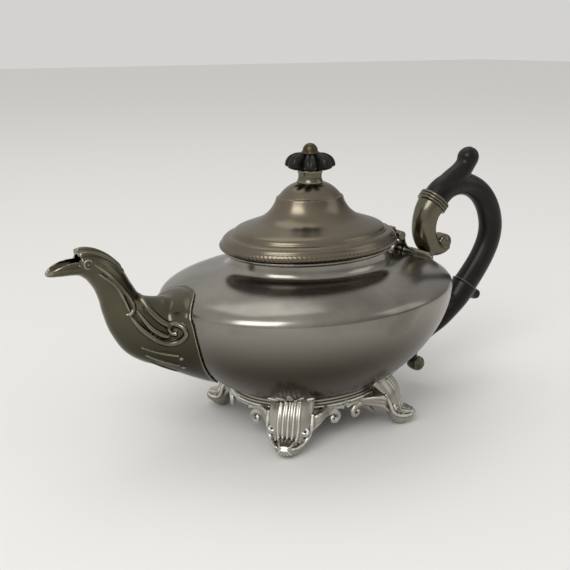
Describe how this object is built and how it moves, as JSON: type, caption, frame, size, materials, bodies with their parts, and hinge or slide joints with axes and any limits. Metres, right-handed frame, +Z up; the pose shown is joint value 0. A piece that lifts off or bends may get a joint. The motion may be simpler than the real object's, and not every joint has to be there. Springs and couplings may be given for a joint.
{
  "type": "teapot",
  "caption": "Footed oval pewter teapot with a bird-headed spout, ebonised wooden handle, cast scroll feet and a hinged bell-shaped lid with a flower finial",
  "frame": {"origin": "on the table under the middle of the overall length, on the pot's upright middle axis", "axes": "+Z up, +X towards the handle, -X towards the spout, the lid's hinge along Y"},
  "size_m": [0.2875, 0.136, 0.1548],
  "materials": {
    "body_pewter": "satin spun pewter, dull grey with fine turning marks",
    "lid_pewter": "satin spun pewter, brownish grey",
    "spout_metal": "cast pewter, darkened olive grey",
    "base_metal": "cast pewter, bright on the relief and dark in the hollows",
    "mount_metal": "cast pewter, satin",
    "dark_metal": "cast metal blackened with age",
    "ebonised_wood": "black stained and polished",
    "finial_metal": "dark bronzed metal"
  },
  "bodies": {
    "pot": {"lower_bowl": "body_pewter", "shoulder": "body_pewter", "neck_ring": "body_pewter", "spout": "spout_metal", "handle_upper_plate": "mount_metal", "handle_upper_socket": "mount_metal", "handle_collar": "mount_metal", "handle_grip": "ebonised_wood", "handle_upper_pin": "mount_metal", "handle_lower_plate": "mount_metal", "handle_lower_socket": "dark_metal", "handle_lower_pin": "mount_metal", "base_ring": "base_metal", "foot_handle_near": "base_metal", "foot_spout_near": "base_metal", "foot_handle_far": "base_metal", "foot_spout_far": "base_metal", "hinge_body_leaf": "mount_metal", "hinge_pin": "mount_metal"},
    "lid": {"lid_dome": "lid_pewter", "lid_rim": "lid_pewter", "lid_bezel": "lid_pewter", "hinge_lid_leaf": "mount_metal", "finial_stem": "mount_metal", "finial_petals": "ebonised_wood", "finial_button": "finial_metal", "finial_stud": "mount_metal", "finial_nut": "mount_metal"}
  },
  "joints": [
    {"name": "lid_hinge", "type": "hinge", "parent": "pot", "child": "lid", "pos_m": [0.0575, 0, 0.0992], "axis": [0, 1, 0], "range_deg": [0, 80]}
  ]
}
